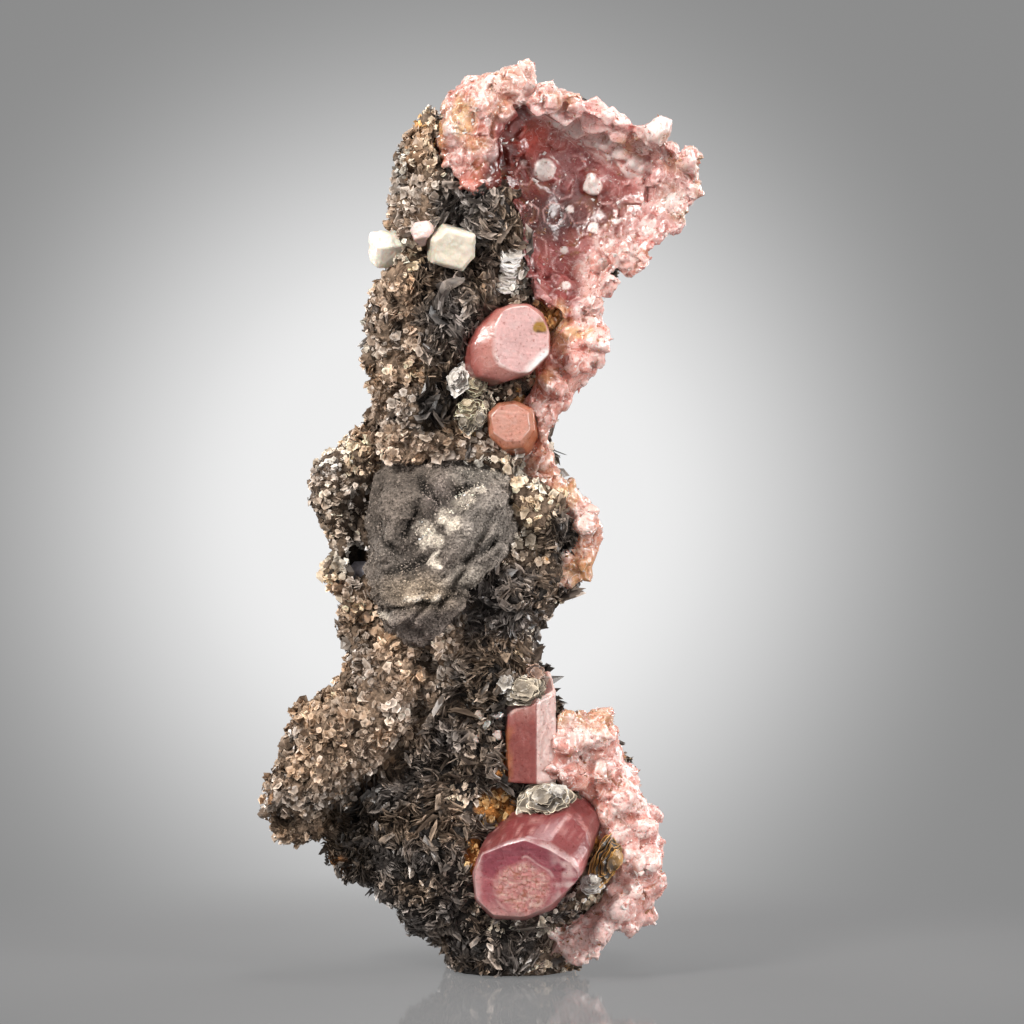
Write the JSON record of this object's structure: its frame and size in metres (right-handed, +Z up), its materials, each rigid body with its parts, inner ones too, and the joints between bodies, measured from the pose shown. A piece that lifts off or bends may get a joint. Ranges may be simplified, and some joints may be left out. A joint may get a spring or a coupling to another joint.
{
  "type": "mineral specimen",
  "caption": "Tall ragged cabinet mineral specimen: pink apatite crystals, crusts and an open vug on a standing column of brown and dark muscovite mica, with grey mica and white albite.",
  "frame": {"origin": "middle of the flat that the specimen stands on", "axes": "+Z up the specimen, -Y towards the viewer of its display side, +X to that viewer's right"},
  "size_m": [0.0678, 0.0444, 0.1382],
  "materials": {
    "muscovite": "satin",
    "grey_mica": "matte",
    "silver_mica": "gloss",
    "apatite_crust": "gloss",
    "apatite_crystal": "gloss",
    "albite": "satin"
  },
  "bodies": {
    "root": {"muscovite_column": "muscovite", "grey_mica_slab": "grey_mica", "apatite_upper_crust": "apatite_crust", "apatite_lower_crust": "apatite_crust", "apatite_upper_crystal": "apatite_crystal", "apatite_orange_crystal": "apatite_crystal", "apatite_large_crystal": "apatite_crystal", "apatite_standing_prism": "apatite_crystal", "albite_left": "albite", "albite_right": "albite", "albite_chip": "albite", "mica_book_upper": "silver_mica", "mica_book_middle": "silver_mica", "mica_book_lower": "silver_mica", "mica_book_side": "silver_mica", "mica_book_brow": "silver_mica"}
  },
  "joints": []
}
